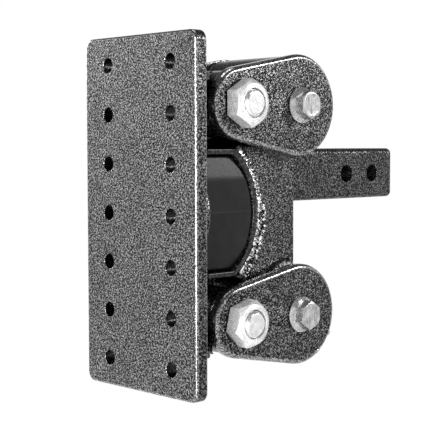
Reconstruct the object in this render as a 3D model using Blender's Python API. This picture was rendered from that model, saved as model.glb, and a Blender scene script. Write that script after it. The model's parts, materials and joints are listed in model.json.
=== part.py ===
"""Receiver hitch with a bolt-on mounting plate on sprung parallel links.

The square shank goes in a truck's receiver tube. Two torsion barrels in the truck frame hold
rubber sleeves, each with an axle bonded in it, and the links bolt to the axles' ends. The
links' front ends carry the mounting plate, which so rides up and down without tilting. A
rubber cushion in a curved cup backs the plate.

Frame: the origin is the centre of the mounting plate's front face, +X towards the truck,
+Z up. Sizes below are in millimetres; meshes are made in metres.
"""
import math

import bmesh
import bpy
from mathutils import Matrix, Vector

MM = 0.001
GAP = 0.3                      # between pieces that touch

# Mounting plate
PLATE_THICK = 12.7
PLATE_WIDE = 152.4
PLATE_TALL = 317.5
PLATE_CORNER_R = 9.0
PLATE_EDGE_R = 2.5             # rounding of the front face's rim
HOLE_R = 6.75
HOLE_PITCH_Y = 85.725
HOLE_PITCH_Z = 44.45
HOLE_ROWS = 7

# Linkage
PIVOT_FRONT_X = 74.5
PIVOT_REAR_X = 152.0
PIVOT_Z = 98.4                 # above and below the plate's centre
LINK_FRONT_R = 33.0
LINK_REAR_R = 47.5
LINK_INNER_Y = 45.5
LINK_THICK = 9.5
LINK_EDGE_R = 4.0              # rounding of the outer rim
LINK_OUTER_Y = LINK_INNER_Y + LINK_THICK

# Front pivots: 1 inch bolts in bushed barrels
BOLT_R = 12.7
BOLT_HOLE_R = 13.1
BOLT_END_Y = 74.0
BOLT_TIP_CHAMFER = 2.0
NUT_FLATS = 38.1
NUT_HEIGHT = 17.0
NUT_CHAMFER = 1.5
NUT_LIP = 2.0                  # dome of the nut's end, and how far it overhangs the thread
NUT_TURN_DEG = {"top": 0.0, "bottom": -14.0}
HEAD_HEIGHT = 15.0
HEAD_CHAMFER = 2.0
CHAMFER_INSET = 0.4            # how far a chamfer's circle lies inside the flats
BOLT_WASHER_R = 25.0
BOLT_WASHER_THICK = 3.4
PIVOT_BARREL_R = 30.2
PIVOT_BARREL_BORE_R = 17.0
PIVOT_BARREL_HALF = 44.2
BUSHING_BORE_R = 13.0
BUSHING_INNER_Y = 2.0
THRUST_WASHER_R = 27.0
THRUST_WASHER_THICK = 0.7

# Rear pivots: rubber torsion springs with 5/8 inch flanged bolts
TORSION_BARREL_R = 46.5
TORSION_BARREL_BORE_R = 39.0
TORSION_BARREL_HALF = 44.5
TORSION_RUBBER_HALF = 40.0
AXLE_R = 22.0
AXLE_HALF = LINK_INNER_Y - GAP
FLANGE_BOLT_R = 7.9
FLANGE_BOLT_HOLE_R = 8.3
FLANGE_BOLT_REACH = 25.0       # into the axle
FLANGE_BOLT_TAP_SPARE = 4.0
FLANGE_BOLT_TURN_DEG = {"near": -3.0, "far": 5.0}
FLANGE_R = 16.9
FLANGE_THICK = 2.5
FLANGE_HEX_FLATS = 23.8
FLANGE_HEAD_HEIGHT = 13.6
FLANGE_NECK = 1.5              # cone between flange and hexagon

# Truck frame
SHANK_SIDE = 50.8
SHANK_CORNER_R = 5.5
SHANK_END_R = 5.0
SHANK_Z = 32.2
SHANK_FRONT_X = 125.0
SHANK_END_X = 325.0
PIN_HOLE_R = 8.35
PIN_HOLE_X = (251.8, 291.9)
SIDE_PLATE_OUTER_Y = 38.0
SIDE_PLATE_REAR_X = 160.0
SIDE_PLATE_HORN_DEG = 228.0    # where each horn's edge meets the torsion barrel
REAR_PLATE_THICK = 8.0
REAR_PLATE_INSET = 5.0

# Cushion and its cup, which share an arc about an axis along Y
CUP_CENTRE_X = 34.0
CUP_INNER_R = 68.0
CUP_OUTER_R = 73.5
CUP_HALF = 42.0
CUP_LIP_INNER_Z = 53.0
CUP_LIP_OUTER_Z = 58.0
CUP_LIP_FRONT_X = 44.0
CUSHION_HALF_WIDE = 41.0
CUSHION_HALF_TALL = 52.0
CUSHION_FLAT_Z = 31.0          # above and below this its sides lean in
CUSHION_LEAN = 4.0
CUSHION_SIDE_STEPS = 5
CUSHION_FRONT_X = 41.0
CUSHION_EDGE = 3.0
CUSHION_BORE_R = 6.7
CUSHION_BORE_FRONT_X = 72.0
SCREW_R = 6.3
SCREW_HOLE_R = 6.7
SCREW_FLATS = 18.0
SCREW_HEAD_HEIGHT = 8.0
SCREW_WASHER_R = 11.0
SCREW_WASHER_THICK = 2.5
SCREW_TIP_GAP = 2.0

# Bracket on the plate's back
STRIKE_DISC_R = 51.0
STRIKE_DISC_FRONT_X = 32.0
STRIKE_DISC_BACK_X = 40.0
EAR_INNER_Y = 11.5
EAR_OUTER_Y = 21.0
EAR_FRONT_X = PLATE_THICK + GAP
EAR_WAIST_Z = 68.0
EAR_ARC_END_DEG = 210.0        # how far each ear follows its barrel
GUSSET_LOW_Z = 117.5
GUSSET_HIGH_Z = 124.0
GUSSET_PLATE_HALF = 66.0
GUSSET_SHOULDER_X = 30.0
GUSSET_SHOULDER_HALF = 62.0
GUSSET_WAIST_X = 38.0
GUSSET_REAR_HALF = 44.0

# Facets
FINE = 48
MEDIUM = 36
COARSE = 24
ARC_STEPS = 12
CORNER_STEPS = 5
ROUNDING_STEPS = 3
SHARP_DEG = 32.0
CUTTER_MARGIN = 5.0

TOP = 1
BOTTOM = -1
NEAR = -1
FAR = 1

# Colour, roughness and metallic value of each finish
LOOKS = {
    "powder_coat": ((0.045, 0.045, 0.05), 0.35, 0.6),
    "zinc": ((0.72, 0.74, 0.76), 0.28, 1.0),
    "rubber": ((0.02, 0.02, 0.022), 0.6, 0.0),
    "axle_steel": ((0.35, 0.35, 0.36), 0.4, 1.0),
    "bushing": ((0.62, 0.46, 0.2), 0.35, 1.0),
    "washer_plastic": ((0.85, 0.85, 0.8), 0.5, 0.0),
}


# Outlines: lists of (u, v) points

def arc(centre_u, centre_v, radius, start_deg, end_deg, steps):
    points = []
    for i in range(steps + 1):
        angle = math.radians(start_deg + (end_deg - start_deg) * i / steps)
        points.append((centre_u + radius * math.cos(angle), centre_v + radius * math.sin(angle)))
    return points


def circle(centre_u, centre_v, radius, steps):
    return arc(centre_u, centre_v, radius, 0, 360, steps)[:-1]


def hexagon(centre_u, centre_v, flats, steps, turn_deg=0.0):
    """A hexagon with the same number of points as a circle, spaced by angle."""
    points = []
    for i in range(steps):
        angle = 2 * math.pi * i / steps
        from_flat = (angle + math.pi / 6) % (math.pi / 3) - math.pi / 6
        reach = flats / 2 / math.cos(from_flat)
        turned = angle + math.radians(turn_deg)
        points.append((centre_u + reach * math.cos(turned), centre_v + reach * math.sin(turned)))
    return points


def rounded_rectangle(half_u, half_v, radius, centre_v=0.0):
    points = []
    corners = ((1, 1, 0), (-1, 1, 90), (-1, -1, 180), (1, -1, 270))
    for side_u, side_v, start in corners:
        centre = (side_u * (half_u - radius), centre_v + side_v * (half_v - radius))
        points += arc(centre[0], centre[1], radius, start, start + 90, CORNER_STEPS)
    return points


def link_outline(side, inset=0.0):
    """Two circles of different size and their common tangents, drawn in by inset."""
    lean = math.degrees(math.asin((LINK_REAR_R - LINK_FRONT_R) / (PIVOT_REAR_X - PIVOT_FRONT_X)))
    rear = arc(PIVOT_REAR_X, side * PIVOT_Z, LINK_REAR_R - inset, -90 - lean, 90 + lean, MEDIUM)
    front = arc(PIVOT_FRONT_X, side * PIVOT_Z, LINK_FRONT_R - inset, 90 + lean, 270 - lean, COARSE)
    return rear + front


def rounding(radius):
    """(depth below the face, inset from the side) for each step of a rounded rim."""
    steps = []
    for i in range(ROUNDING_STEPS + 1):
        angle = math.radians(90 * i / ROUNDING_STEPS)
        steps.append((radius * (1 - math.sin(angle)), radius * (1 - math.cos(angle))))
    return steps


def mirrored(half_outline):
    """Closes an upper half, drawn from its start to its end, with its mirror image below."""
    return half_outline + [(u, -v) for u, v in reversed(half_outline)]


# Axes: how an outline's (u, v) and its level become x, y, z

def along_x(u, v, level):
    return Vector((level, u, v)) * MM


def along_y(u, v, level):
    return Vector((u, level, v)) * MM


def along_z(u, v, level):
    return Vector((u, v, level)) * MM


# Solids

def bridge(bm, first, second):
    count = len(first)
    for i in range(count):
        j = (i + 1) % count
        bm.faces.new((first[i], first[j], second[j], second[i]))


def prism(bm, sections, place, holes=()):
    """A solid through outlines at several levels, with straight holes from end to end."""
    rings = []
    for level, outline in sections:
        rings.append([bm.verts.new(place(u, v, level)) for u, v in outline])
    for first, second in zip(rings, rings[1:]):
        bridge(bm, first, second)
    hole_rings = []
    for hole in holes:
        ends = []
        for level in (sections[0][0], sections[-1][0]):
            ends.append([bm.verts.new(place(u, v, level)) for u, v in hole])
        bridge(bm, ends[0], ends[1])
        hole_rings.append(ends)
    for end in (0, 1):
        outer = rings[-end]
        if not holes:
            bm.faces.new(outer)
            continue
        edges = []
        for ring in [outer] + [ends[end] for ends in hole_rings]:
            edges += [bm.edges.get((ring[i - 1], ring[i])) for i in range(len(ring))]
        bmesh.ops.triangle_fill(bm, use_beauty=True, use_dissolve=False, edges=edges)


def ring_solid(bm, sections, place):
    """A closed tube-like solid: the last section joins the first."""
    rings = []
    for level, outline in sections:
        rings.append([bm.verts.new(place(u, v, level)) for u, v in outline])
    for i in range(len(rings)):
        bridge(bm, rings[i - 1], rings[i])


def sleeve(bm, centre_u, centre_v, outer_r, inner_r, low, high, steps, place=along_y):
    outer = circle(centre_u, centre_v, outer_r, steps)
    inner = circle(centre_u, centre_v, inner_r, steps)
    ring_solid(bm, [(low, outer), (high, outer), (high, inner), (low, inner)], place)


# Materials and objects

def make_material(name, colour, roughness, metallic):
    material = bpy.data.materials.new(name)
    material.use_nodes = True
    shader = material.node_tree.nodes["Principled BSDF"]
    shader.inputs["Base Color"].default_value = (*colour, 1.0)
    shader.inputs["Roughness"].default_value = roughness
    shader.inputs["Metallic"].default_value = metallic
    return material


def make_pivot(name, x, z, parent=None):
    pivot = bpy.data.objects.new(name, None)
    bpy.context.scene.collection.objects.link(pivot)
    place = Vector((x, 0.0, z)) * MM
    pivot["axis_point"] = place
    if parent is None:
        pivot.location = place
    else:
        pivot.parent = parent
        pivot.location = place - Vector(parent["axis_point"])
    return pivot


def make_piece(name, bm, finish, pivot=None):
    """Turns the bmesh, drawn in the model's frame, into an object under its joint's pivot."""
    bmesh.ops.recalc_face_normals(bm, faces=bm.faces)
    mesh = bpy.data.meshes.new(name)
    bm.to_mesh(mesh)
    bm.free()
    mesh.shade_smooth()
    mesh.set_sharp_from_angle(angle=math.radians(SHARP_DEG))
    if finish not in bpy.data.materials:
        make_material(finish, *LOOKS[finish])
    mesh.materials.append(bpy.data.materials[finish])
    piece = bpy.data.objects.new(name, mesh)
    bpy.context.scene.collection.objects.link(piece)
    if pivot is not None:
        mesh.transform(Matrix.Translation(-Vector(pivot["axis_point"])))
        piece.parent = pivot
    return piece


def cut(piece, name, sections, place):
    """Subtracts a prism from a piece and leaves the cutter hidden."""
    bm = bmesh.new()
    prism(bm, sections, place)
    bmesh.ops.recalc_face_normals(bm, faces=bm.faces)
    mesh = bpy.data.meshes.new(name)
    bm.to_mesh(mesh)
    bm.free()
    cutter = bpy.data.objects.new(name, mesh)
    cutter.display_type = "WIRE"
    cutter.hide_render = True
    bpy.context.scene.collection.objects.link(cutter)
    modifier = piece.modifiers.new(name, "BOOLEAN")
    modifier.operation = "DIFFERENCE"
    modifier.solver = "EXACT"
    modifier.object = cutter


# Truck frame

def build_shank():
    """A solid square bar, rounded at its free end, coped under the upper barrel, with two pin holes."""
    bm = bmesh.new()
    half = SHANK_SIDE / 2
    sections = [(SHANK_FRONT_X, rounded_rectangle(half, half, SHANK_CORNER_R, SHANK_Z))]
    for depth, inset in rounding(SHANK_END_R):
        outline = rounded_rectangle(half - inset, half - inset, SHANK_CORNER_R - inset, SHANK_Z)
        sections.append((SHANK_END_X - depth, outline))
    prism(bm, sections, along_x)
    shank = make_piece("shank", bm, "powder_coat")
    reach = half + CUTTER_MARGIN
    for i, x in enumerate(PIN_HOLE_X):
        outline = circle(x, SHANK_Z, PIN_HOLE_R, COARSE)
        cut(shank, f"pin_hole_cutter_{i}", [(-reach, outline), (reach, outline)], along_y)
    cope = circle(PIVOT_REAR_X, PIVOT_Z, TORSION_BARREL_R + 2 * GAP, FINE)
    cut(shank, "barrel_cope_cutter", [(-reach, cope), (reach, cope)], along_y)


def side_plate_outline():
    """Curved in front to the cup, above to the torsion barrel, and straight behind."""
    front_r = CUP_OUTER_R + GAP
    barrel_r = TORSION_BARREL_R + GAP
    horn_deg = math.degrees(math.asin(CUP_LIP_OUTER_Z / front_r))
    rear_deg = 360 - math.degrees(math.acos((SIDE_PLATE_REAR_X - PIVOT_REAR_X) / barrel_r))
    front = arc(CUP_CENTRE_X, 0, front_r, 0, horn_deg, ARC_STEPS)[1:]
    under_barrel = arc(PIVOT_REAR_X, PIVOT_Z, barrel_r, SIDE_PLATE_HORN_DEG, rear_deg, ARC_STEPS)
    return mirrored(front + under_barrel) + [(CUP_CENTRE_X + front_r, 0.0)]


def build_side_plates():
    outline = side_plate_outline()
    inner_y = SHANK_SIDE / 2 + GAP
    for name, side in (("side_plate_near", NEAR), ("side_plate_far", FAR)):
        bm = bmesh.new()
        levels = [(side * inner_y, outline), (side * SIDE_PLATE_OUTER_Y, outline)]
        prism(bm, levels, along_y)
        make_piece(name, bm, "powder_coat")


def build_rear_plate():
    bm = bmesh.new()
    half = SHANK_SIDE / 2
    top = SHANK_Z - half - GAP
    rear_x = SIDE_PLATE_REAR_X - REAR_PLATE_INSET
    bottom = -PIVOT_Z + TORSION_BARREL_R + 2 * GAP
    outline = [(-half, bottom), (half, bottom), (half, top), (-half, top)]
    prism(bm, [(rear_x - REAR_PLATE_THICK, outline), (rear_x, outline)], along_x)
    make_piece("frame_rear_plate", bm, "powder_coat")


def build_torsion_barrels():
    for name, side in (("top", TOP), ("bottom", BOTTOM)):
        bm = bmesh.new()
        sleeve(bm, PIVOT_REAR_X, side * PIVOT_Z, TORSION_BARREL_R, TORSION_BARREL_BORE_R,
               -TORSION_BARREL_HALF, TORSION_BARREL_HALF, FINE)
        make_piece(f"torsion_barrel_{name}", bm, "powder_coat")
        bm = bmesh.new()
        sleeve(bm, PIVOT_REAR_X, side * PIVOT_Z, TORSION_BARREL_BORE_R - GAP, AXLE_R + GAP,
               -TORSION_RUBBER_HALF, TORSION_RUBBER_HALF, MEDIUM)
        make_piece(f"torsion_rubber_{name}", bm, "rubber")


def build_cup():
    lip_outer_deg = math.degrees(math.asin(CUP_LIP_OUTER_Z / CUP_OUTER_R))
    lip_inner_deg = math.degrees(math.asin(CUP_LIP_INNER_Z / CUP_INNER_R))
    outer = arc(CUP_CENTRE_X, 0, CUP_OUTER_R, -lip_outer_deg, lip_outer_deg, COARSE)
    inner = arc(CUP_CENTRE_X, 0, CUP_INNER_R, lip_inner_deg, -lip_inner_deg, COARSE)
    lip_top = [(CUP_LIP_FRONT_X, CUP_LIP_OUTER_Z), (CUP_LIP_FRONT_X, CUP_LIP_INNER_Z)]
    lip_bottom = [(u, -v) for u, v in reversed(lip_top)]
    outline = outer + lip_top + inner + lip_bottom
    bm = bmesh.new()
    prism(bm, [(-CUP_HALF, outline), (CUP_HALF, outline)], along_y)
    cup = make_piece("cushion_cup", bm, "powder_coat")
    hole = circle(0, 0, SCREW_HOLE_R, COARSE)
    inside_x = CUP_CENTRE_X + CUP_INNER_R - CUTTER_MARGIN
    behind_x = CUP_CENTRE_X + CUP_OUTER_R + CUTTER_MARGIN
    cut(cup, "cup_hole_cutter", [(inside_x, hole), (behind_x, hole)], along_x)


def cushion_outline():
    """Eight sides, each cut into steps so that the back can follow the cup's curve."""
    wide, lean_wide = CUSHION_HALF_WIDE, CUSHION_HALF_WIDE - CUSHION_LEAN
    upper = [(wide, CUSHION_FLAT_Z), (lean_wide, CUSHION_HALF_TALL)]
    upper += [(-u, v) for u, v in reversed(upper)]
    corners = upper + [(-u, -v) for u, v in upper]
    points = []
    for start, end in zip(corners, corners[1:] + corners[:1]):
        for step in range(CUSHION_SIDE_STEPS):
            share = step / CUSHION_SIDE_STEPS
            points.append((start[0] + (end[0] - start[0]) * share, start[1] + (end[1] - start[1]) * share))
    return points


def build_cushion():
    """A rubber block whose back is curved to the cup and has a blind bore."""
    seat_r = CUP_INNER_R - GAP
    outline = cushion_outline()
    bore = [(CUSHION_BORE_R * u / math.hypot(u, v), CUSHION_BORE_R * v / math.hypot(u, v)) for u, v in outline]

    def drawn_in(inset):
        share = 1 - inset / CUSHION_HALF_TALL
        return [(u * share, v * share) for u, v in outline]

    def flat_ring(points, x):
        return [bm.verts.new(along_x(u, v, x)) for u, v in points]

    def seat_ring(points, inset=0.0):
        depths = [CUP_CENTRE_X + math.sqrt(seat_r ** 2 - v ** 2) - inset for u, v in points]
        return [bm.verts.new(along_x(u, v, x)) for (u, v), x in zip(points, depths)]

    bm = bmesh.new()
    edge = CUSHION_EDGE
    rings = [flat_ring(drawn_in(edge), CUSHION_FRONT_X), flat_ring(outline, CUSHION_FRONT_X + edge)]
    rings += [seat_ring(outline, edge), seat_ring(drawn_in(edge))]
    rings += [seat_ring(drawn_in(CUSHION_HALF_TALL * share)) for share in (1 / 3, 2 / 3)]
    rings += [seat_ring(bore), flat_ring(bore, CUSHION_BORE_FRONT_X)]
    for first, second in zip(rings, rings[1:]):
        bridge(bm, first, second)
    bm.faces.new(rings[0])
    bm.faces.new(rings[-1])
    make_piece("rubber_cushion", bm, "rubber")


def build_cushion_screw():
    washer_x = CUP_CENTRE_X + CUP_OUTER_R + GAP
    head_x = washer_x + SCREW_WASHER_THICK + GAP
    bm = bmesh.new()
    sleeve(bm, 0, 0, SCREW_WASHER_R, SCREW_HOLE_R, washer_x, washer_x + SCREW_WASHER_THICK, COARSE, along_x)
    make_piece("cushion_washer", bm, "zinc")
    shank = circle(0, 0, SCREW_R, COARSE)
    head = hexagon(0, 0, SCREW_FLATS, COARSE)
    levels = [(CUSHION_BORE_FRONT_X + SCREW_TIP_GAP, shank), (head_x, shank), (head_x, head)]
    levels.append((head_x + SCREW_HEAD_HEIGHT, head))
    bm = bmesh.new()
    prism(bm, levels, along_x)
    make_piece("cushion_screw", bm, "zinc")


# Links and what turns with them

def build_links(name, side, pivot):
    holes = [circle(PIVOT_FRONT_X, side * PIVOT_Z, BOLT_HOLE_R, COARSE),
             circle(PIVOT_REAR_X, side * PIVOT_Z, FLANGE_BOLT_HOLE_R, COARSE)]
    for suffix, hand in (("near", NEAR), ("far", FAR)):
        sections = [(hand * LINK_INNER_Y, link_outline(side))]
        for depth, inset in rounding(LINK_EDGE_R):
            sections.append((hand * (LINK_OUTER_Y - depth), link_outline(side, inset)))
        bm = bmesh.new()
        prism(bm, sections, along_y, holes)
        make_piece(f"{name}_link_{suffix}", bm, "powder_coat", pivot)


def build_axle(name, side, pivot):
    """A round bar with a blind tapped hole in each end."""
    z = side * PIVOT_Z
    bar = circle(PIVOT_REAR_X, z, AXLE_R, MEDIUM)
    bore = circle(PIVOT_REAR_X, z, FLANGE_BOLT_HOLE_R, MEDIUM)
    bore_end = LINK_INNER_Y - FLANGE_BOLT_REACH - FLANGE_BOLT_TAP_SPARE
    sections = [(-bore_end, bore), (-AXLE_HALF, bore), (-AXLE_HALF, bar)]
    sections += [(AXLE_HALF, bar), (AXLE_HALF, bore), (bore_end, bore)]
    bm = bmesh.new()
    prism(bm, sections, along_y)
    make_piece(f"{name}_axle", bm, "axle_steel", pivot)


def build_flange_bolts(name, side, pivot):
    z = side * PIVOT_Z
    shank = circle(PIVOT_REAR_X, z, FLANGE_BOLT_R, COARSE)
    rim = circle(PIVOT_REAR_X, z, FLANGE_R, COARSE)
    neck = circle(PIVOT_REAR_X, z, FLANGE_HEX_FLATS / 2 + FLANGE_NECK, COARSE)
    crown = circle(PIVOT_REAR_X, z, FLANGE_HEX_FLATS / 2 - CHAMFER_INSET, COARSE)
    end_y = LINK_INNER_Y - FLANGE_BOLT_REACH
    flat_y = LINK_OUTER_Y + GAP
    rim_y = flat_y + FLANGE_THICK
    top_y = flat_y + FLANGE_HEAD_HEIGHT
    for suffix, hand in (("near", NEAR), ("far", FAR)):
        head = hexagon(PIVOT_REAR_X, z, FLANGE_HEX_FLATS, COARSE, FLANGE_BOLT_TURN_DEG[suffix])
        levels = [(end_y, shank), (flat_y, shank), (flat_y, rim), (rim_y, rim),
                  (rim_y + FLANGE_NECK / 2, neck), (rim_y + FLANGE_NECK, head),
                  (top_y - HEAD_CHAMFER, head), (top_y, crown)]
        bm = bmesh.new()
        prism(bm, [(hand * level, outline) for level, outline in levels], along_y)
        make_piece(f"{name}_flange_bolt_{suffix}", bm, "zinc", pivot)


def build_pivot_bolt(name, side, pivot):
    z = side * PIVOT_Z
    washer_y = LINK_OUTER_Y + GAP
    head_y = washer_y + BOLT_WASHER_THICK + GAP
    bm = bmesh.new()
    sleeve(bm, PIVOT_FRONT_X, z, BOLT_WASHER_R, BOLT_HOLE_R, washer_y, washer_y + BOLT_WASHER_THICK, COARSE)
    make_piece(f"{name}_bolt_washer", bm, "zinc", pivot)

    bar = circle(PIVOT_FRONT_X, z, BOLT_R, COARSE)
    tip = circle(PIVOT_FRONT_X, z, BOLT_R - BOLT_TIP_CHAMFER, COARSE)
    hexes = hexagon(PIVOT_FRONT_X, z, NUT_FLATS, COARSE, NUT_TURN_DEG[name])
    crown = circle(PIVOT_FRONT_X, z, NUT_FLATS / 2 - CHAMFER_INSET, COARSE)
    levels = [(-BOLT_END_Y, tip), (BOLT_TIP_CHAMFER - BOLT_END_Y, bar), (head_y, bar), (head_y, hexes),
              (head_y + HEAD_HEIGHT - HEAD_CHAMFER, hexes), (head_y + HEAD_HEIGHT, crown)]
    bm = bmesh.new()
    prism(bm, levels, along_y)
    make_piece(f"{name}_pivot_bolt", bm, "zinc", pivot)

    inner = circle(PIVOT_FRONT_X, z, BOLT_R + GAP, COARSE)
    lip = circle(PIVOT_FRONT_X, z, BOLT_R + NUT_LIP, COARSE)
    base_y = -LINK_OUTER_Y - GAP
    end_y = base_y - NUT_HEIGHT
    levels = [(base_y, hexes), (end_y + NUT_LIP + NUT_CHAMFER, hexes), (end_y + NUT_LIP, crown),
              (end_y, lip), (end_y, inner), (base_y, inner)]
    bm = bmesh.new()
    ring_solid(bm, levels, along_y)
    make_piece(f"{name}_lock_nut", bm, "zinc", pivot)


# Mounting plate and its bracket

def build_mounting_plate(pivot):
    holes = []
    for column in (-1, 1):
        for row in range(HOLE_ROWS):
            z = (row - (HOLE_ROWS - 1) / 2) * HOLE_PITCH_Z
            holes.append(circle(column * HOLE_PITCH_Y / 2, z, HOLE_R, COARSE))
    sections = []
    for depth, inset in reversed(rounding(PLATE_EDGE_R)):
        outline = rounded_rectangle(PLATE_WIDE / 2 - inset, PLATE_TALL / 2 - inset, PLATE_CORNER_R - inset)
        sections.append((depth, outline))
    sections.append((PLATE_THICK, sections[-1][1]))
    bm = bmesh.new()
    prism(bm, sections, along_x, holes)
    make_piece("mounting_plate", bm, "powder_coat", pivot)


def build_bracket(pivot):
    arc_r = PIVOT_BARREL_R + GAP
    ear_top = GUSSET_LOW_Z - GAP
    top_deg = math.degrees(math.asin((ear_top - PIVOT_Z) / arc_r))
    ear = arc(PIVOT_FRONT_X, PIVOT_Z, arc_r, 180 - top_deg, EAR_ARC_END_DEG, ARC_STEPS)
    waist_x = STRIKE_DISC_FRONT_X - GAP
    outline = mirrored([(EAR_FRONT_X, ear_top)] + ear + [(waist_x, EAR_WAIST_Z)])
    for name, side in (("bracket_ear_near", NEAR), ("bracket_ear_far", FAR)):
        bm = bmesh.new()
        prism(bm, [(side * EAR_INNER_Y, outline), (side * EAR_OUTER_Y, outline)], along_y)
        make_piece(name, bm, "powder_coat", pivot)

    reach = math.sqrt(arc_r ** 2 - (GUSSET_LOW_Z - PIVOT_Z) ** 2)
    rear_x = PIVOT_FRONT_X - reach - GAP
    half = [(EAR_FRONT_X, GUSSET_PLATE_HALF), (GUSSET_SHOULDER_X, GUSSET_SHOULDER_HALF),
            (GUSSET_WAIST_X, GUSSET_REAR_HALF), (rear_x, GUSSET_REAR_HALF)]
    for name, side in (("top", TOP), ("bottom", BOTTOM)):
        bm = bmesh.new()
        prism(bm, [(side * GUSSET_LOW_Z, mirrored(half)), (side * GUSSET_HIGH_Z, mirrored(half))], along_z)
        make_piece(f"plate_gusset_{name}", bm, "powder_coat", pivot)

    disc = circle(0, 0, STRIKE_DISC_R, FINE)
    bm = bmesh.new()
    prism(bm, [(STRIKE_DISC_FRONT_X, disc), (STRIKE_DISC_BACK_X, disc)], along_x)
    make_piece("strike_disc", bm, "powder_coat", pivot)


def build_pivot_barrel(name, side, pivot):
    z = side * PIVOT_Z
    half = PIVOT_BARREL_HALF
    bm = bmesh.new()
    sleeve(bm, PIVOT_FRONT_X, z, PIVOT_BARREL_R, PIVOT_BARREL_BORE_R, -half, half, FINE)
    make_piece(f"pivot_barrel_{name}", bm, "powder_coat", pivot)

    washer_start = half + GAP
    washer_end = washer_start + THRUST_WASHER_THICK
    for suffix, hand in (("near", NEAR), ("far", FAR)):
        bm = bmesh.new()
        sleeve(bm, PIVOT_FRONT_X, z, PIVOT_BARREL_BORE_R - GAP, BUSHING_BORE_R,
               hand * BUSHING_INNER_Y, hand * half, COARSE)
        make_piece(f"pivot_bushing_{name}_{suffix}", bm, "bushing", pivot)
        bm = bmesh.new()
        sleeve(bm, PIVOT_FRONT_X, z, THRUST_WASHER_R, BOLT_HOLE_R + GAP,
               hand * washer_start, hand * washer_end, COARSE)
        make_piece(f"thrust_washer_{name}_{suffix}", bm, "washer_plastic", pivot)


def main():
    for old in list(bpy.data.objects):
        bpy.data.objects.remove(old, do_unlink=True)
    for old in list(bpy.data.materials):
        bpy.data.materials.remove(old)

    build_shank()
    build_side_plates()
    build_rear_plate()
    build_torsion_barrels()
    build_cup()
    build_cushion()
    build_cushion_screw()

    top_rear = make_pivot("top_link_pivot", PIVOT_REAR_X, PIVOT_Z)
    bottom_rear = make_pivot("bottom_link_pivot", PIVOT_REAR_X, -PIVOT_Z)
    top_front = make_pivot("plate_pivot", PIVOT_FRONT_X, PIVOT_Z, top_rear)
    for name, side, pivot in (("top", TOP, top_rear), ("bottom", BOTTOM, bottom_rear)):
        build_links(name, side, pivot)
        build_axle(name, side, pivot)
        build_flange_bolts(name, side, pivot)
        build_pivot_bolt(name, side, pivot)

    build_mounting_plate(top_front)
    build_bracket(top_front)
    build_pivot_barrel("top", TOP, top_front)
    build_pivot_barrel("bottom", BOTTOM, top_front)


main()
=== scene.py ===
"""Looks of the torsion-link receiver hitch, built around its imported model.

Every piece is drawn in the model's own frame, in millimetres, and scaled to metres as its
vertices are made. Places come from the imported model's boxes. Each piece stands for one CAD
node, except the weld beads and spatter, which are extra.
"""
import json
import math

import bmesh
import bpy
from mathutils import Matrix, Vector, noise

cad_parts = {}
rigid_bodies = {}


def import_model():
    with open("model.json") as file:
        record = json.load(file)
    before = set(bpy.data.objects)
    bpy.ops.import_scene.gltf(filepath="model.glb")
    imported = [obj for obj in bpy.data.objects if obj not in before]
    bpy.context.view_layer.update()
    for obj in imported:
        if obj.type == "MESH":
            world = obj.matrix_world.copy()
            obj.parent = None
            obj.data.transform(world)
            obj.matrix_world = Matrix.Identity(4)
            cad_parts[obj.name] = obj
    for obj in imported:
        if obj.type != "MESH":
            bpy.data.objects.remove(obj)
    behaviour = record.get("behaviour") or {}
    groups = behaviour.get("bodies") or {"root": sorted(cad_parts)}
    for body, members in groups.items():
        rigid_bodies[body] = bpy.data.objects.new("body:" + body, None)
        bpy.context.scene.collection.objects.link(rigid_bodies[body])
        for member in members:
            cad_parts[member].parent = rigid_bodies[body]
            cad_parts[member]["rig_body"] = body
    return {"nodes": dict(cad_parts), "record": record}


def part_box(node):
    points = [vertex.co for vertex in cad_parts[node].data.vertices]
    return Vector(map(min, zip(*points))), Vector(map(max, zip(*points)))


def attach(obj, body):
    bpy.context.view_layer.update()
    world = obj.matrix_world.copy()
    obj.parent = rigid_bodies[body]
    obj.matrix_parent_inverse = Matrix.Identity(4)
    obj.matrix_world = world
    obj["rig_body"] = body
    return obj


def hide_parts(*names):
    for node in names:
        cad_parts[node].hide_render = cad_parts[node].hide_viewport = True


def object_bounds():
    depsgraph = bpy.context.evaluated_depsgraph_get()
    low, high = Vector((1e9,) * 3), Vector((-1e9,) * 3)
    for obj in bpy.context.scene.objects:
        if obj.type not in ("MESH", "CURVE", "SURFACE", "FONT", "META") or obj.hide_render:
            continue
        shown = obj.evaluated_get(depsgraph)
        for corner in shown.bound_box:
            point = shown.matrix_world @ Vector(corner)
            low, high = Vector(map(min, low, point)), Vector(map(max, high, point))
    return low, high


MM = 0.001

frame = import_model()
CAD_LOW, CAD_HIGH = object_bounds()

# Facets
ROUND = 96
SMALL_ROUND = 48
CORNER_STEPS = 8
RIM_STEPS = 5
HEX_STEPS = 16                 # points along each flat of a hexagon
SHARP_DEG = 35.0

# Design numbers that no box gives
PLATE_CORNER_R = 9.0
PLATE_HOLE_R = 6.75
PLATE_RIM = 2.2
LINK_RIM = 4.0
LINK_BACK_RIM = 1.0
SMALL_RIM = 0.8
CUP_CENTRE_X = 34.0
CUP_WALL = 5.5
SHANK_CORNER_R = 5.5
SHANK_END_R = 5.0
PIN_HOLE_R = 8.35
GAP = 0.3
EAR_FRONT_Z = 68.0             # where an ear's slope meets the strike disc
GUSSET_HALF_WIDE = 66.0
GUSSET_TAPER = ((30.0, 62.0), (38.0, 44.0))
GUSSET_HALF_NARROW = 44.0
BUSHING_BORE_R = 13.0
THRUST_WASHER_BORE_R = 13.4
BOLT_R = 12.7
BOLT_HOLE_R = 13.1
THREAD_LENGTH = 24.0
FLANGE_BOLT_R = 7.9
FLANGE_BOLT_HOLE_R = 8.3
TAP_DEPTH = 29.0
NUT_FLATS = 38.1
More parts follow.
